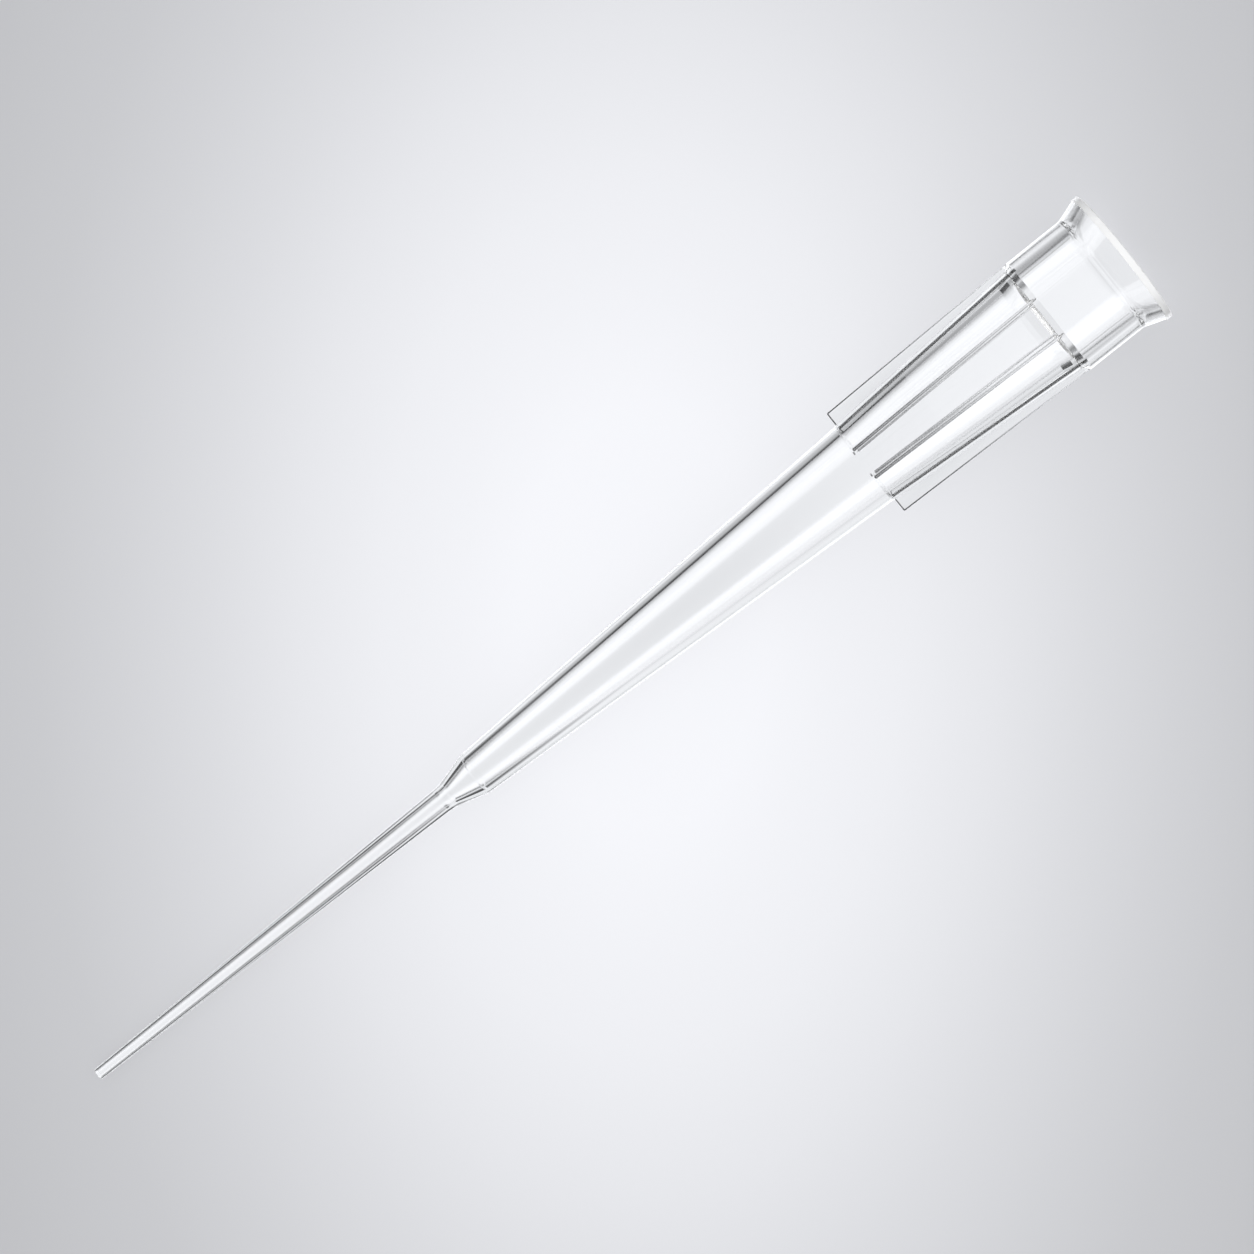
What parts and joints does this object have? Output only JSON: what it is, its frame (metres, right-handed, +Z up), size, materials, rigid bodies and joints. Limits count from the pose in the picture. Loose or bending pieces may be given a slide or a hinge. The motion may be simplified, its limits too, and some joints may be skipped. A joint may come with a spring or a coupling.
{
  "type": "pipette tip",
  "caption": "Clear moulded gel-loading pipette tip: fine tapered capillary, sloping neck, hollow cone with axial fins, straight socket and flared rim.",
  "frame": {"origin": "bottom centre of the tip's box, on the surface that the tip lies on", "axes": "+X along the tip's length towards the rim, +Z up; the tip's own axis rises about three degrees towards the rim"},
  "size_m": [0.0752, 0.0084, 0.0085],
  "materials": {
    "clear_polypropylene": "gloss"
  },
  "bodies": {
    "root": {"pipette_tip": "clear_polypropylene"}
  },
  "joints": []
}
